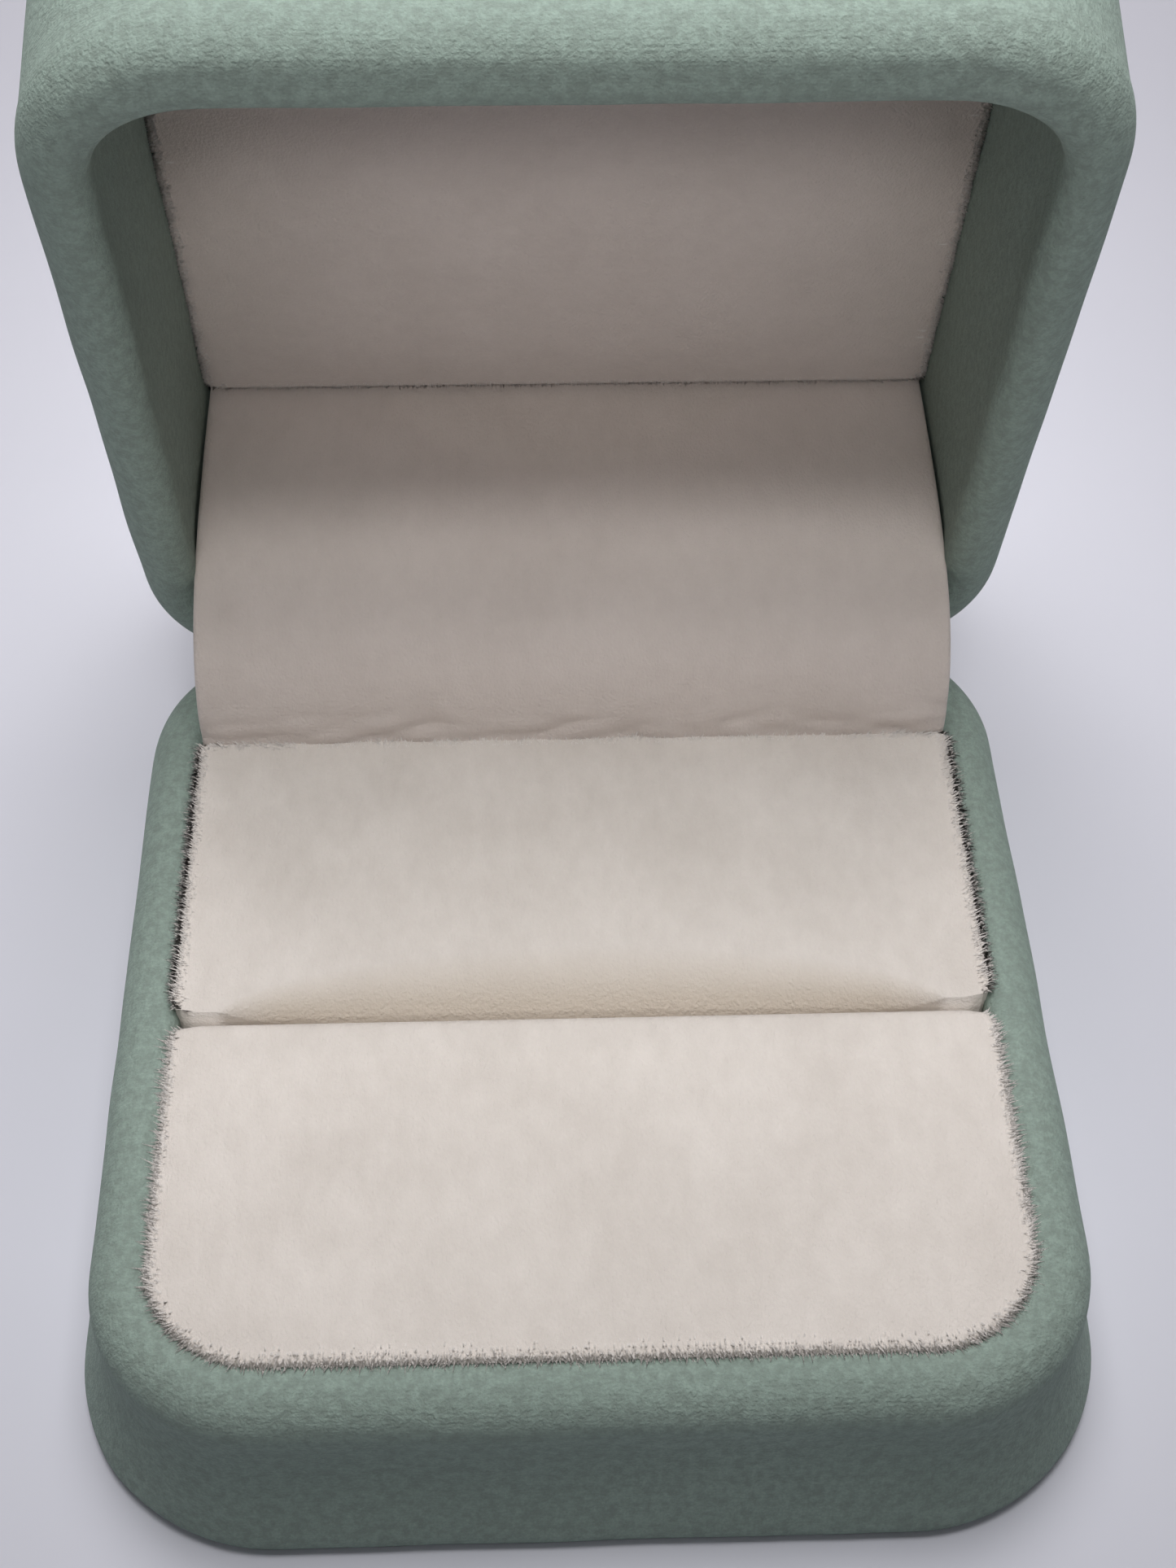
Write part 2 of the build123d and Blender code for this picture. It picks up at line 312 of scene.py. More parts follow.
# Green cloth covers, drawn over the padded walls of the base and the lid.
# Matt microfibre suede on a fine knit, stretched over the rim's foam bead and turned down
# inside as a lining. The rear walls slope away behind the hinge, notched for its knuckles.
def knit(tree, turn, pitch):
    """A very fine square knit, which shows where the nap is thin."""
    place = tree.nodes.new("ShaderNodeTexCoord")
    level = tree.nodes.new("ShaderNodeVectorRotate")
    level.rotation_type = "X_AXIS"
    count = tree.nodes.new("ShaderNodeVectorMath")
    count.operation = "SCALE"
    count.inputs["Scale"].default_value = 2 * pi / pitch
    wave = tree.nodes.new("ShaderNodeVectorMath")
    wave.operation = "SINE"
    total = tree.nodes.new("ShaderNodeVectorMath")
    total.operation = "DOT_PRODUCT"
    total.inputs[1].default_value = (1 / 3, 1 / 3, 1 / 3)
    tree.links.new(place.outputs["Object"], level.inputs["Vector"])
    tree.links.new(turn, level.inputs["Angle"])
    tree.links.new(level.outputs["Vector"], count.inputs[0])
    tree.links.new(count.outputs["Vector"], wave.inputs[0])
    tree.links.new(wave.outputs["Vector"], total.inputs[0])
    return total.outputs["Value"]


def share_of(tree, factor, share):
    """A factor turned down to a share of itself."""
    scale = tree.nodes.new("ShaderNodeMath")
    scale.operation = "MULTIPLY"
    scale.inputs[1].default_value = share
    tree.links.new(factor, scale.inputs[0])
    return scale.outputs["Value"]


def suede_group():
    """Brushed suede: pale flecks where the nap stands up, deeper green where it lies flat."""
    outputs = (("Color", "Color"), ("Knit", "Float"), ("Nap", "Float"), ("Flecks", "Float"))
    group, given, made = new_group("suede", (("Turn", "Float"),), outputs)
    flecks = grain(group, 0.0007, 0.38, 0.62, 4.0)
    clouds = grain(group, 0.012, 0.3, 0.7, 2.0)
    nap = grain(group, 0.00022, 0.3, 0.7, 2.0)
    pale = two_tone(group, clouds, (0.320, 0.410, 0.360), (0.350, 0.445, 0.392))
    ground = two_tone(group, flecks, (0.262, 0.328, 0.288), pale)
    mixed = two_tone(group, share_of(group, nap, 0.45), ground, (0.200, 0.250, 0.221))
    group.links.new(mixed, made["Color"])
    group.links.new(knit(group, given["Turn"], 0.00024), made["Knit"])
    group.links.new(nap, made["Nap"])
    group.links.new(flecks, made["Flecks"])
    return group


SUEDE = suede_group()


def microfibre(name, turn):
    """Green suede cloth; turn brings the knit square to a tilted piece."""
    made, tree, shader = new_material(name, 0.88)
    shader.inputs["Specular IOR Level"].default_value = 0.25
    shader.inputs["Sheen Weight"].default_value = 0.12
    shader.inputs["Sheen Roughness"].default_value = 0.55
    shader.inputs["Sheen Tint"].default_value = (0.80, 1.0, 0.90, 1)
    suede = tree.nodes.new("ShaderNodeGroup")
    suede.node_tree = SUEDE
    suede.inputs["Turn"].default_value = turn
    tree.links.new(suede.outputs["Color"], shader.inputs["Base Color"])
    bump(tree, shader, suede.outputs["Knit"], 0.000007)
    bump(tree, shader, suede.outputs["Nap"], 0.00004)
    bump(tree, shader, suede.outputs["Flecks"], 0.00003)
    return made


def turned(angle):
    """A turn about the hinge's axis."""
    return Matrix.Translation(HINGE) @ Matrix.Rotation(angle, 4, "X") @ Matrix.Translation(-HINGE)


def shut_box(node):
    """Lowest and highest corner of a lid node, as it lies when the box is shut."""
    swing = turned(SHUT_TURN)
    points = [swing @ v.co for v in frame["nodes"][node].data.vertices]
    return (Vector([min(p[i] for p in points) for i in range(3)]),
            Vector([max(p[i] for p in points) for i in range(3)]))


foot_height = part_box("base_cover")[1].z
panel_low, panel_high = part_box("base_underside_panel")
lid_low, lid_high = shut_box("lid_cover")
RIM_WALL = 0.0039
CLOTH = 0.0006
UNEVEN = 0.00012
HALF_X = panel_high.x + RIM_WALL
HALF_Y = -panel_low.y + RIM_WALL
CORNER = 0.0115
REAR_SLOPE = tan(radians(43))


def outline_ring(shape):
    """One closed ring of edges on the plan: a square with round corners."""
    flat = bmesh.ops.create_grid(shape, x_segments=1, y_segments=1, size=1)
    bmesh.ops.scale(shape, vec=(HALF_X, HALF_Y, 1), verts=flat["verts"])
    bmesh.ops.bevel(shape, geom=shape.verts[:], affect="VERTICES", offset=CORNER, segments=14,
                    profile=0.5, material=-1)
    bmesh.ops.delete(shape, geom=shape.faces[:], context="FACES_ONLY")
    straights = [e for e in shape.edges if e.calc_length() > 2 * CORNER]
    bmesh.ops.subdivide_edges(shape, edges=straights, cuts=29)
    return shape.edges[:]


def plan_core(point):
    """The nearest point of the plan's inner square, which its round corners turn about."""
    return Vector((max(-HALF_X + CORNER, min(HALF_X - CORNER, point.x)),
                   max(-HALF_Y + CORNER, min(HALF_Y - CORNER, point.y))))


def set_out(vert, grow, height):
    """Moves a point of the outline outwards by grow, at a height."""
    core = plan_core(vert.co)
    outwards = (vert.co.xy - core).normalized()
    vert.co = (*(core + outwards * (CORNER + grow)), height)


def arc(centre, across, along, start, end, steps):
    """Points of a round or oval bend, as (grow, depth), between two angles in degrees."""
    angles = [radians(start + (end - start) * i / steps) for i in range(steps + 1)]
    return [(centre[0] + across * cos(a), centre[1] - along * sin(a)) for a in angles]


def rim_section(lining_depth):
    """From the waist over the padded rim to the lining's end, as (grow, depth below the crest)."""
    crest, outer_fall, inner_fall = -0.0027, 0.0032, 0.0016
    swell_out, swell_in, swell_reach = 0.0001, 0.0004, 0.0022
    row = 0.0014
    outer = arc((crest, outer_fall), swell_out - crest, outer_fall, -14, 90, 11)
    inner = arc((crest, inner_fall), RIM_WALL + crest + swell_in, inner_fall, 90, 180, 6)[1:]
    count = max(4, round(lining_depth / row))
    lining = []
    for i in range(1, count + 1):
        share = i / count
        depth = inner_fall + (lining_depth - inner_fall) * share
        lining.append((-RIM_WALL - swell_in * exp(-((depth - inner_fall) / swell_reach) ** 2), depth))
    return outer + inner + lining


def next_row(shape, ring):
    """Extrudes a ring of edges; gives the new row's points and its ring."""
    grown = bmesh.ops.extrude_edge_only(shape, edges=ring)["geom"]
    verts = [g for g in grown if isinstance(g, bmesh.types.BMVert)]
    fresh = set(verts)
    edges = [g for g in grown if isinstance(g, bmesh.types.BMEdge)]
    return verts, [e for e in edges if e.verts[0] in fresh and e.verts[1] in fresh]


def wrap(section, up, crest):
    """Draws the cloth round the plan along a section; up is 1 for the base and -1 for the lid."""
    shape = bmesh.new()
    ring = outline_ring(shape)
    for i, (grow, depth) in enumerate(section):
        if i:
            verts, ring = next_row(shape, ring)
        else:
            verts = shape.verts[:]
        for vert in verts:
            set_out(vert, grow, crest - up * depth)
    return shape, ring


def clear_hinge(shape, up):
    """Slopes the rear wall away behind the hinge, and hollows it round the knuckles."""
    slot_half, slot_r = 0.0165, 0.0018
    reach_forward, middle_depth = 0.003, 0.0062
    for vert in shape.verts:
        if vert.co.y < HINGE.y - reach_forward:
            continue
        core = plan_core(vert.co)
        outwards = (vert.co.xy - core).normalized()
        wall_middle = core + outwards * (CORNER - RIM_WALL / 2)
        middle = Vector((*wall_middle, HINGE.z - up * middle_depth))
        rise = up * (HINGE.z - vert.co.z) - REAR_SLOPE * (vert.co.y - HINGE.y)
        spare = up * (HINGE.z - middle.z) - REAR_SLOPE * (middle.y - HINGE.y)
        if rise < 0:
            vert.co = middle + (vert.co - middle) * (spare / (spare - rise))
        off = (vert.co - HINGE).yz
        if abs(vert.co.x) < slot_half and off.length < slot_r:
            vert.co.yz = HINGE.yz + off.normalized() * slot_r


def soften(shape, amount, size, seed):
    """The slight unevenness of cloth over foam."""
    shape.normal_update()
    moves = [v.normal * amount * noise.noise(v.co / size + Vector((seed, 0, 0))) for v in shape.verts]
    for vert, move in zip(shape.verts, moves):
        vert.co += move


def base_section():
    """Up the base: under the foot, round its edge, up the hollow flare to the waist, over the rim."""
    height = foot_height
    flare, edge, waist = 0.00235, 0.0012, 0.0040
    hollow_depth, lining_depth = 0.00035, 0.009
    under = [(-RIM_WALL + (flare - edge + RIM_WALL) * i / 4, height) for i in range(4)]
    foot = arc((flare - edge, height - edge), edge, edge, -90, 0, 4)
    rise = height - edge - waist
    cove = []
    for i in range(1, 10):
        share = i / 10
        hollow = hollow_depth * sin(pi * min(1, share * 1.05)) * share
        cove.append((flare * (1 - share) ** 1.5 - hollow, height - edge - rise * share))
    return under + foot + cove + rim_section(lining_depth)


base_cloth, _ = wrap(base_section(), 1, foot_height)
clear_hinge(base_cloth, 1)
bmesh.ops.recalc_face_normals(base_cloth, faces=base_cloth.faces)
soften(base_cloth, UNEVEN, size=0.006, seed=3)
base_wrap = piece_from("base_cloth_cover", base_cloth, microfibre("green_microfibre_base", 0))
thicken(base_wrap, CLOTH, -1)
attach(base_wrap, "base")
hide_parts("base_cover")


def lid_section():
    """From inside the lid over its rim, up the outer wall, round the top's edge and in."""
    height = lid_high.z - lid_low.z
    flare, edge, crown = 0.0006, 0.0034, 0.0006
    lining_depth, wall_steps = 0.0206, 12
    bend = rim_section(lining_depth)[::-1]
    start = bend[-1][1]
    wall = []
    for i in range(1, wall_steps):
        share = i / wall_steps
        wall.append((flare * share, start + (height - edge - start) * share))
    shoulder = arc((flare - edge, height - edge), edge, edge, 0, -84, 7)
    top = []
    for i in range(1, 7):
        share = i / 7
        top.append((flare - edge - (CORNER - edge) * share, height + crown * sin(share * pi / 2)))
    return bend + wall + shoulder + top, height + crown


def close_top(shape, ring, level):
    """Closes the lid's top in shrinking rows, which rise a little to the middle."""
    dome = 0.0003
    for share in (0.8, 0.6, 0.4, 0.2, 0.06):
        verts, ring = next_row(shape, ring)
        reach = max(v.co.x for v in verts)
        for vert in verts:
            vert.co.xy *= share * (HALF_X - CORNER) / reach
            vert.co.z = level + dome * cos(share * pi / 2)
    bmesh.ops.contextual_create(shape, geom=ring)


def fill_front_rim(shape):
    """Makes the inside of the lid's front rim fuller than its sides."""
    fuller, reach = 0.0010, 0.006
    for vert in shape.verts:
        core = plan_core(vert.co)
        out = vert.co.xy - core
        if 0 < out.length < CORNER - RIM_WALL / 2 and out.y < 0:
            out.normalize()
            depth = vert.co.z - lid_low.z
            vert.co.xy -= out * fuller * out.y ** 2 * exp(-(depth / reach) ** 2)


lid_points, lid_crown = lid_section()
lid_cloth, lid_ring = wrap(lid_points, -1, lid_low.z)
clear_hinge(lid_cloth, -1)
close_top(lid_cloth, lid_ring, lid_low.z + lid_crown)
fill_front_rim(lid_cloth)
bmesh.ops.recalc_face_normals(lid_cloth, faces=lid_cloth.faces)
soften(lid_cloth, UNEVEN, size=0.007, seed=11)
lid_cloth.transform(turned(-SHUT_TURN))
lid_wrap = piece_from("lid_cloth_cover", lid_cloth, microfibre("green_microfibre_lid", SHUT_TURN))
thicken(lid_wrap, CLOTH, -1)
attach(lid_wrap, "lid")
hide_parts("lid_cover")


# Velvet pads: two cushions in the base with the ring slot between them, and a pad in the lid.
# Short cream pile over soft foam blocks, tucked in all round, so that the pile stands up
# in a ragged fringe against the green lining. The rear cushion rolls down into the slot.
def velvet_group():
    """Cream pile in light and dark patches, with painted light from the pile attribute: a painted highlight
    on the fringe's tuft tips and painted shade where the rear cushion rolls down into the slot.
    """
    colours = tuple((tone, "Color") for tone in ("Light", "Dark", "PaintedTipHighlight", "PaintedSlotShade"))
    outputs = (("Color", "Color"), ("Pile", "Float"), ("Strokes", "Float"))
    group, given, made = new_group("velvet", colours, outputs)
    pile = grain(group, 0.00022, 0.25, 0.75, 3.0, (1, 0.55, 1))
    patches = share_of(group, grain(group, 0.009, 0.3, 0.7, 3.0), 0.45)
    strokes = grain(group, 0.0014, 0.3, 0.75, 4.0, (1, 0.5, 1))
    brushed = group.nodes.new("ShaderNodeMath")
    group.links.new(patches, brushed.inputs[0])
    group.links.new(share_of(group, strokes, 0.35), brushed.inputs[1])
    ground = two_tone(group, brushed.outputs["Value"], given["Light"], given["Dark"])
    # Painted light: the pile attribute lifts the tuft tips towards the pale tip colour as a painted
    # highlight, and pulls the slot's roll towards the darker slot colour as painted shade.
    painted_light_mask = group.nodes.new("ShaderNodeAttribute")
    painted_light_mask.attribute_name = "pile"
    for share, tone in ((1, "PaintedTipHighlight"), (-1, "PaintedSlotShade")):
        amount = group.nodes.new("ShaderNodeClamp")
        group.links.new(share_of(group, painted_light_mask.outputs["Fac"], share), amount.inputs["Value"])
        ground = two_tone(group, amount.outputs["Result"], ground, given[tone])
    group.links.new(ground, made["Color"])
    group.links.new(pile, made["Pile"])
    group.links.new(strokes, made["Strokes"])
    return group


VELVET_PILE = velvet_group()


def velvet(name, light, dark, slot_shade_colour):
    """Short cream velvet in a light and a dark tone, with a painted highlight colour for its tuft tips and a
    painted shade colour for the ring slot.
    """
    made, tree, shader = new_material(name, 0.9)
    shader.inputs["Specular IOR Level"].default_value = 0.15
    shader.inputs["Sheen Weight"].default_value = 0.45
    shader.inputs["Sheen Roughness"].default_value = 0.4
    shader.inputs["Sheen Tint"].default_value = (1.0, 0.97, 0.94, 1)
    cloth = tree.nodes.new("ShaderNodeGroup")
    cloth.node_tree = VELVET_PILE
    # Painted highlight: the pale colour given to the tips of the fringe tufts.
    painted_highlight_tips = (0.92, 0.88, 0.85)
    for tone, colour in (("Light", light), ("Dark", dark), ("PaintedTipHighlight", painted_highlight_tips), ("PaintedSlotShade", slot_shade_colour)):
        cloth.inputs[tone].default_value = (*colour, 1)
    tree.links.new(cloth.outputs["Color"], shader.inputs["Base Color"])
    bump(tree, shader, cloth.outputs["Pile"], 0.00009, 0.8)
    bump(tree, shader, cloth.outputs["Strokes"], 0.00008, 0.6)
    return made


BIG = 10.0    # the swelling is worked out at ten times size, where the solver is steady
VOXEL = 0.0068    # of the skin, at ten times size
VELVET = 0.0006
PLUMP = 0.0004    # how far a cushion's face stands above its nominal height
TRAY_CORNER = CORNER - RIM_WALL


def voxel_copy(node):
    """An even skin round a CAD node, at ten times size."""
    source = bpy.data.objects.new("blank", frame["nodes"][node].data.copy())
    bpy.context.scene.collection.objects.link(source)
    source.data.transform(Matrix.Scale(BIG, 4))
    weld = bmesh.new()
    weld.from_mesh(source.data)
    bmesh.ops.remove_doubles(weld, verts=weld.verts, dist=1e-5)
    weld.to_mesh(source.data)
    weld.free()
    skin = source.modifiers.new("skin", "REMESH")
    skin.mode = "VOXEL"
    skin.voxel_size = VOXEL
    return settle(source)


def settle(piece):
    """Applies a piece's modifiers as they stand."""
    graph = bpy.context.evaluated_depsgraph_get()
    graph.update()
    mesh = bpy.data.meshes.new_from_object(piece.evaluated_get(graph))
    piece.modifiers.clear()
    piece.data = mesh
    return piece


def swell(piece, crown):
    """Covers a foam block with velvet and inflates it with Blender's cloth, up to crown metres."""
    frames = 20
    before = [(v.co.copy(), v.normal.copy()) for v in piece.data.vertices]
    rises = [1.0] * len(before)
    cloth = piece.modifiers.new("cloth", "CLOTH")
    cloth.settings.use_pressure = True
    cloth.settings.uniform_pressure_force = 4
    cloth.settings.effector_weights.gravity = 0
    cloth.settings.tension_stiffness = 12
    cloth.settings.compression_stiffness = 12
    cloth.settings.bending_stiffness = 1.5
    cloth.point_cache.frame_start = 1
    cloth.point_cache.frame_end = frames
    for step in range(1, frames + 1):
        bpy.context.scene.frame_set(step)
    settle(piece)
    rises = [max(0, (v.co - old).dot(out)) for v, (old, out) in zip(piece.data.vertices, before)]
    bpy.context.scene.frame_set(1)
    fullest = max(rises)
    for vert, (old, out), rise in zip(piece.data.vertices, before, rises):
        vert.co = old + out * (VELVET + crown * rise / fullest) * BIG


def press_in(shape, low_y, high_y):
    """Holds a pad inside the lining, whose plan is a square with round corners."""
    for vert in shape.verts:
        vert.co.y = max(low_y, min(high_y, vert.co.y))
        core = plan_core(vert.co)
        out = vert.co.xy - core
        if out.length > TRAY_CORNER:
            vert.co.xy = core + out.normalized() * TRAY_CORNER


def square_off(shape, top, up):
    """Draws a pad's rounded border out into the angle between its face and the lining."""
    reach, tightness = 0.0016, 1.5
    for vert in shape.verts:
        core = plan_core(vert.co)
        out = vert.co.xy - core
        inward, below = TRAY_CORNER - out.length, (top - vert.co.z) * up
        if 0 < below < reach:
            vert.co.z = top - up * below * (below / reach) ** tightness
        if 0 < inward < reach:
            kept = inward * (inward / reach) ** tightness
            vert.co.xy = core + out.normalized() * (TRAY_CORNER - kept)


def border(shape, top, up, seams):
    """Faces on the border of a pad's face, each with its nearness to the edge from 0 to 1."""
    band, drop = 0.0011, 0.0005
    found = []
    for face in shape.faces:
        middle = face.calc_center_median()
        if (top - middle.z) * up > drop or face.normal.z * up < 0:
            continue
        inward = min([TRAY_CORNER - (middle.xy - plan_core(middle)).length]
                     + [abs(middle.y - seam) for seam in seams])
        if inward < band:
            found.append((face, 1 - max(0, inward) / band))
    return found


def raise_fringe(shape, top, up, seams, length, chance):
    """Draws fine tufts of pile out along a pad's border, thickest at its edge, leaning outwards, and marks
    their tips for a painted highlight.
    """
    tuft_inset, stray_share = 0.00004, 0.45
    shape.normal_update()
    edges = dict.fromkeys(edge for face, _ in border(shape, top, up, seams) for edge in face.edges)
    bmesh.ops.subdivide_edges(shape, edges=list(edges), cuts=1, use_grid_fill=True)
    shape.normal_update()
    chosen = [(face, share) for face, share in border(shape, top, up, seams)
              if chance.random() < share + 0.15]
    faces = [face for face, _ in chosen]
    bmesh.ops.inset_individual(shape, faces=faces, thickness=tuft_inset, depth=0)
    painted_highlight_tips = bmesh.ops.poke(shape, faces=faces)["verts"]
    shape.normal_update()
    pile = shape.verts.layers.float["pile"]
    for tip, (_, share) in zip(painted_highlight_tips, chosen):
        outwards = (tip.co.xy - plan_core(tip.co)).normalized()
        pull = tip.normal * 0.35 + Vector((outwards.x * 0.8, outwards.y * 0.8, 0.45 * up))
        stray = Vector([chance.uniform(-1, 1) for _ in range(3)]) * stray_share
        tip.co += (pull + stray) * length * (0.3 + 0.7 * share) * chance.uniform(0.4, 1.0)
        # Marks the tuft's tip for the painted highlight.
        tip[pile] = 1


def padded_pad(name, node, replaced, body, made, crown, shape_it, seed):
    """Swells a pad from its foam block, shapes it, and raises its pile."""
    piece = voxel_copy(node)
    swell(piece, crown)
    smooth = piece.modifiers.new("smooth", "SUBSURF")
    smooth.levels = 1
    smooth.render_levels = 1
    settle(piece)
    piece.data.transform(Matrix.Scale(1 / BIG, 4))
    shape = bmesh.new()
    shape.from_mesh(piece.data)
    shape.verts.layers.float.new("pile")
    bpy.data.objects.remove(piece)
    shape_it(shape, random.Random(seed))
    piece = piece_from(name, shape, made)
    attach(piece, body)
    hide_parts(*replaced)


# The last colour is painted shade, laid where the rear cushion rolls down into the ring slot.
CREAM = velvet("cream_velvet", (0.83, 0.775, 0.725), (0.66, 0.605, 0.555), (0.66, 0.585, 0.50))
board_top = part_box("cushion_board")[1].z
front_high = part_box("front_cushion_velvet")[1]
rear_low, rear_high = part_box("rear_cushion_velvet")


def rest_on_board(shape):
    for vert in shape.verts:
        vert.co.z = max(vert.co.z, board_top)


def front_cushion(shape, chance):
    rest_on_board(shape)
    press_in(shape, -HALF_Y, front_high.y)
    square_off(shape, front_high.z + PLUMP, 1)
    raise_fringe(shape, front_high.z, 1, (), 0.0009, chance)


def slot_depth(across):
    """How far back the rear cushion rolls down into the ring slot, at a distance from the middle."""
    deepest, half_slot = 0.0050, 0.0252
    return deepest * max(0.0004, 1 - (across / half_slot) ** 2) ** 0.6


def rear_cushion(shape, chance):
    rest_on_board(shape)
    press_in(shape, rear_low.y, rear_high.y)
    square_off(shape, rear_high.z + PLUMP, 1)
    shape.normal_update()
    pile = shape.verts.layers.float["pile"]
    reach, blend, oval = 0.0062, 0.0015, 0.9
    full_shade_depth, faces_up = 0.0025, 0.05
    top = rear_high.z + PLUMP
    for vert in shape.verts:
        back = vert.co.y - rear_low.y
        if vert.normal.z < faces_up:
            continue
        vert.co.z = max(vert.co.z, top)
        if back > reach:
            continue
        deep = slot_depth(vert.co.x)
        short = max(0, min(deep - back, deep * 0.995))
        rolled = top - (deep - (deep ** 2 - short ** 2) ** 0.5) * oval
        vert.co.z += (rolled - vert.co.z) * min(1, (reach - back) / blend)
        # Painted shade: the slot's roll is marked to darken towards the slot colour, most where it rolls
        # deepest.
        vert[pile] = -min(1, short / deep * 1.4) * min(1, deep / full_shade_depth)
    raise_fringe(shape, rear_high.z, 1, (rear_high.y,), 0.0009, chance)


def lid_pad(shape, chance):
    shape.transform(turned(SHUT_TURN))
    pad_low, pad_high = shut_box("lid_pad_velvet")
    for vert in shape.verts:
        vert.co.z = min(vert.co.z, pad_high.z)
    press_in(shape, -HALF_Y, pad_high.y)
    square_off(shape, pad_low.z, -1)
    raise_fringe(shape, pad_low.z, -1, (pad_high.y,), 0.0005, chance)
    shape.transform(turned(-SHUT_TURN))


padded_pad("front_cushion", "front_cushion_foam", ("front_cushion_foam", "front_cushion_velvet"),
           "base", CREAM, crown=0.0005, shape_it=front_cushion, seed=1)
padded_pad("rear_cushion", "rear_cushion_foam", ("rear_cushion_foam", "rear_cushion_velvet"),
           "base", CREAM, crown=0.0004, shape_it=rear_cushion, seed=2)
# The lid's pad and the flap get a darker, pinker copy of the cream velvet: partly a warmer tint, partly
# painted shade and warm bounced light of the lid's hollow.
SHADED_ROSE_CREAM = velvet("cream_velvet_shade", (0.78, 0.70, 0.655), (0.66, 0.585, 0.54), (0.58, 0.50, 0.45))
padded_pad("lid_pad", "lid_pad_foam", ("lid_pad_foam", "lid_pad_velvet"),
           "lid", SHADED_ROSE_CREAM, crown=0.0006, shape_it=lid_pad, seed=3)


# Hinge flap: velvet over a thin card, which hides the hinge.
# It rises behind the rear cushion, bulges forward over the hinge and runs in behind the lid's
# pad. It bends as the lid shuts, and small creases gather in it just above the cushion.
FLAP_W = 0.0568
FLAP_THICK = 0.00065
CARD_THICK = 0.0004
CARD_BEHIND = 0.0010    # from the velvet's line to the card's
CUSHION_TOP = 0.0152
ABOVE_CUSHION = 8    # where the flap's line comes up from behind the cushion


def flap_line(offset, steps):
    """The flap's line from behind the cushion to behind the lid's pad, as (y, z) points."""
    low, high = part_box("hinge_flap_velvet")
    pull_z, slack_y, slack_drop = 0.0245, 0.0290, 0.0006
    rise = [(low.y + offset, low.z + (CUSHION_TOP - low.z) * i / ABOVE_CUSHION)
            for i in range(ABOVE_CUSHION)]
    start, pull = Vector((low.y + offset, CUSHION_TOP)), Vector((low.y + offset, pull_z))
    end, slack = Vector((high.y, high.z - offset)), Vector((slack_y, high.z - slack_drop - offset))
    curve = []
    for i in range(steps + 1):
        t = i / steps
        point = (start * (1 - t) ** 3 + pull * 3 * t * (1 - t) ** 2
                 + slack * 3 * t * t * (1 - t) + end * t ** 3)
        curve.append(tuple(point))
    return rise + curve


def gather(shape):
    """Small creases just above the cushion, and a slight unevenness over the bulge."""
    crease_depth, crease_height, crease_band = 0.00045, 0.0014, 0.0015
    uneven, uneven_from = 0.00010, 0.004
    for vert in shape.verts:
        above = vert.co.z - CUSHION_TOP
        fade = exp(-((above - crease_height) / crease_band) ** 2)
        crease = noise.noise(Vector((vert.co.x * 330, vert.co.z * 900, 4)))
        swellings = noise.noise(Vector((vert.co.x * 90, vert.co.y * 120, vert.co.z * 120)))
        vert.co.y += crease_depth * fade * crease
        vert.co.z += uneven * swellings * min(1, max(0, above / uneven_from))


velvet_line = flap_line(0.0, 60)
flap_shape = strip(FLAP_W, 90, velvet_line)
gather(flap_shape)
# The flap wears the shaded copy of the cream velvet, with its painted shade and bounced light.
flap = piece_from("hinge_flap_cloth", flap_shape, SHADED_ROSE_CREAM)
thicken(flap, FLAP_THICK, 1)
bend_over_hinge(flap, velvet_line, ABOVE_CUSHION, -4)
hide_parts("hinge_flap_velvet")

card_line = flap_line(CARD_BEHIND, 24)
card = piece_from("hinge_flap_backing", strip(FLAP_W, 20, card_line), CARD)
thicken(card, CARD_THICK, 0)
bend_over_hinge(card, card_line, ABOVE_CUSHION, -3)
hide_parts("hinge_flap_card")


# Floor, light and camera: a pale floor, a broad soft light overhead, a window's glow from behind,
# and two soft beams, one down on to the lid and one into it, in a dim room.
floor_shape = bmesh.new()
bmesh.ops.create_grid(floor_shape, x_segments=1, y_segments=1, size=3)
bmesh.ops.translate(floor_shape, vec=(0, 0, -0.00005), verts=floor_shape.verts)
paint, tree, shader = new_material("floor", 0.6)
pale_floor = two_tone(tree, grain(tree, 0.05), (0.66, 0.67, 0.74), (0.68, 0.69, 0.76))
tree.links.new(pale_floor, shader.inputs["Base Color"])
floor = piece_from("floor", floor_shape, paint)

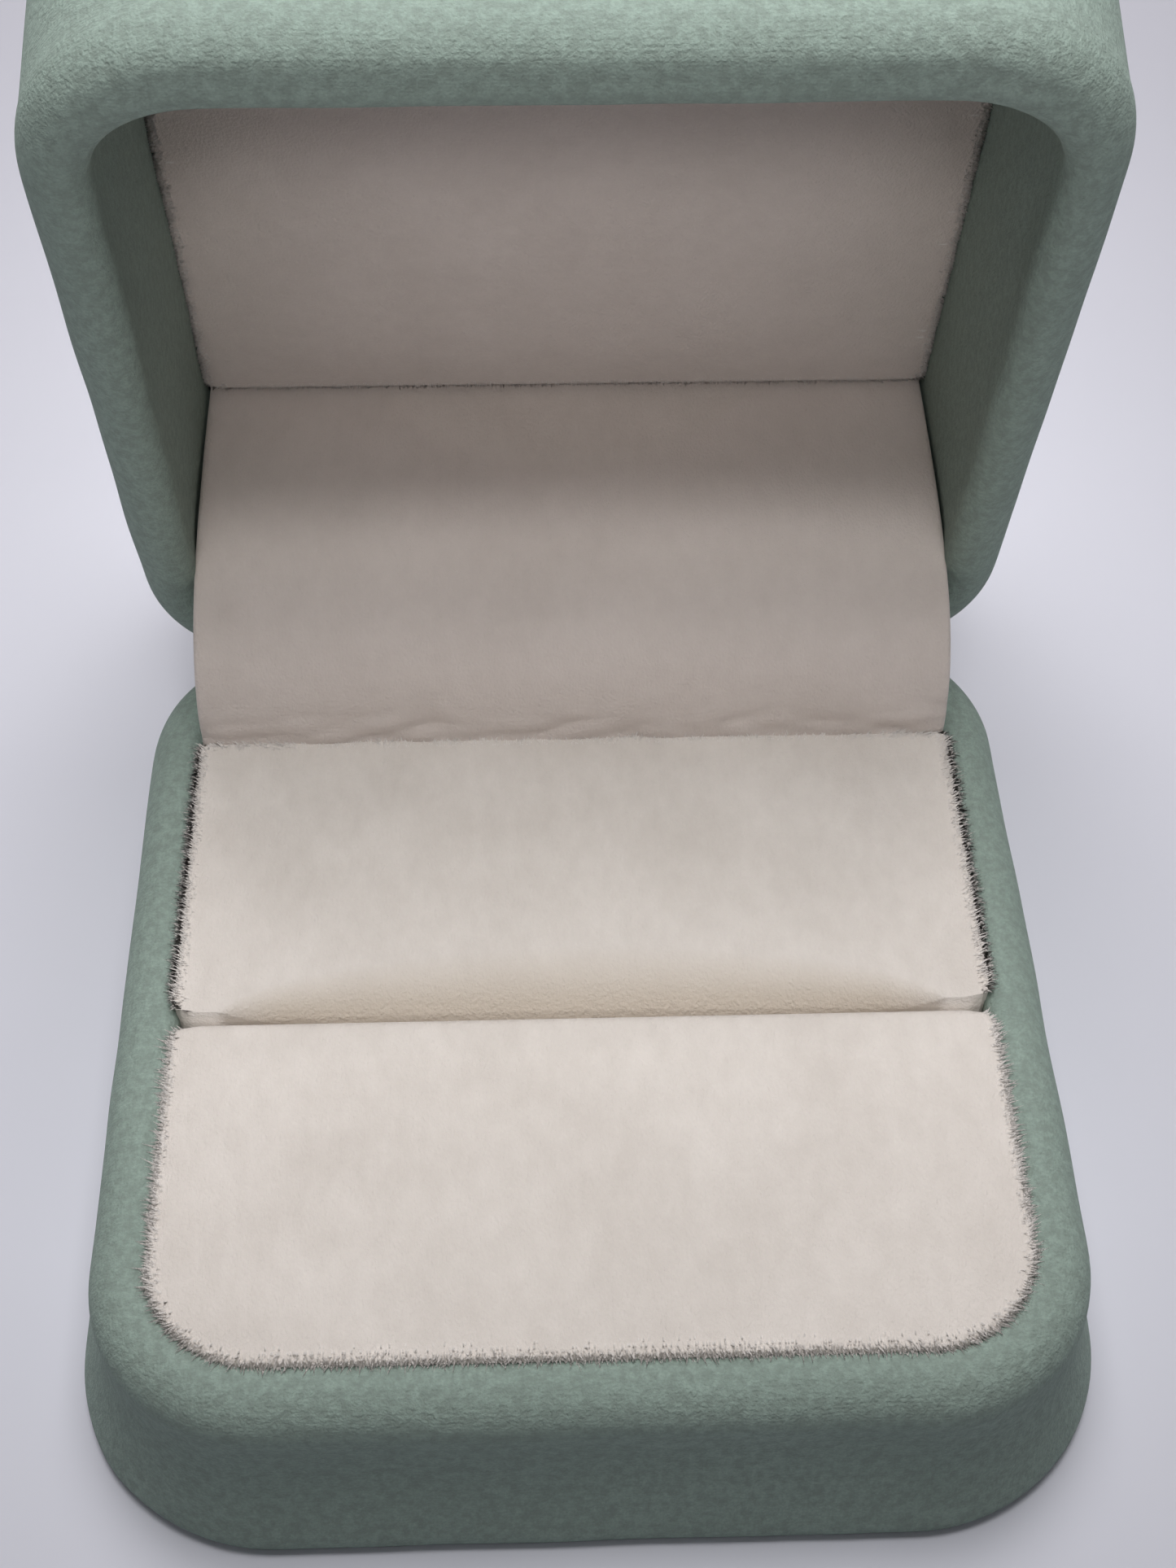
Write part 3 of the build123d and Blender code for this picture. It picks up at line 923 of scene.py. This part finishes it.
scene = bpy.context.scene
scene.view_settings.view_transform = "Standard"
room = bpy.data.worlds.new("room")
room.use_nodes = True
room.node_tree.nodes["Background"].inputs["Color"].default_value = (0.95, 0.93, 1.0, 1)
room.node_tree.nodes["Background"].inputs["Strength"].default_value = 0.02
scene.world = room


def lamp(name, kind, place, target, watts, colour):
    """A light at a place, aimed at a target."""
    light = bpy.data.lights.new(name, kind)
    light.energy = watts
    light.color = colour
    holder = bpy.data.objects.new(name, light)
    holder.location = place
    holder.rotation_mode = "QUATERNION"
    holder.rotation_quaternion = (Vector(target) - Vector(place)).to_track_quat("-Z", "Y")
    scene.collection.objects.link(holder)
    return light


def soft_panel(name, place, target, size, watts, colour):
    panel = lamp(name, "AREA", place, target, watts, colour)
    panel.shape = "RECTANGLE"
    panel.size, panel.size_y = size


def soft_beam(name, place, target, degrees, softness, watts, colour):
    beam = lamp(name, "SPOT", place, target, watts, colour)
    beam.spot_size = radians(degrees)
    beam.spot_blend = 1.0
    beam.shadow_soft_size = softness


soft_panel("overhead", (0, 0.06, 0.45), (0, 0.02, 0.02), (0.22, 0.22), 1.40, (1, 0.985, 0.99))
soft_panel("window", (0, 0.9, 0.7), (0, 0.1, 0), (1.2, 0.5), 3.0, (1, 0.93, 0.97))
soft_beam("on_the_lid", (0, -0.13, 0.50), (0, 0.03, 0.055), 12, 0.07, 8.6, (1, 1, 0.99))
soft_beam("into_the_lid", (0, -0.30, 0.34), (0, 0.038, 0.052), 17, 0.05, 2.9, (1, 0.97, 0.96))

lens = bpy.data.cameras.new("camera")
lens.lens = 49.43
lens.sensor_width = 36
lens.clip_start = 0.01
camera = bpy.data.objects.new("camera", lens)
yaw, pitch, roll = radians(2.52), radians(50.94), radians(0.95)
ahead = Vector((sin(yaw) * cos(pitch), cos(yaw) * cos(pitch), -sin(pitch)))
camera.location = (-0.0036, -0.0855, 0.1414)
camera.rotation_mode = "QUATERNION"
camera.rotation_quaternion = ahead.to_track_quat("-Z", "Y") @ Quaternion((0, 0, 1), roll)
scene.collection.objects.link(camera)
scene.camera = camera
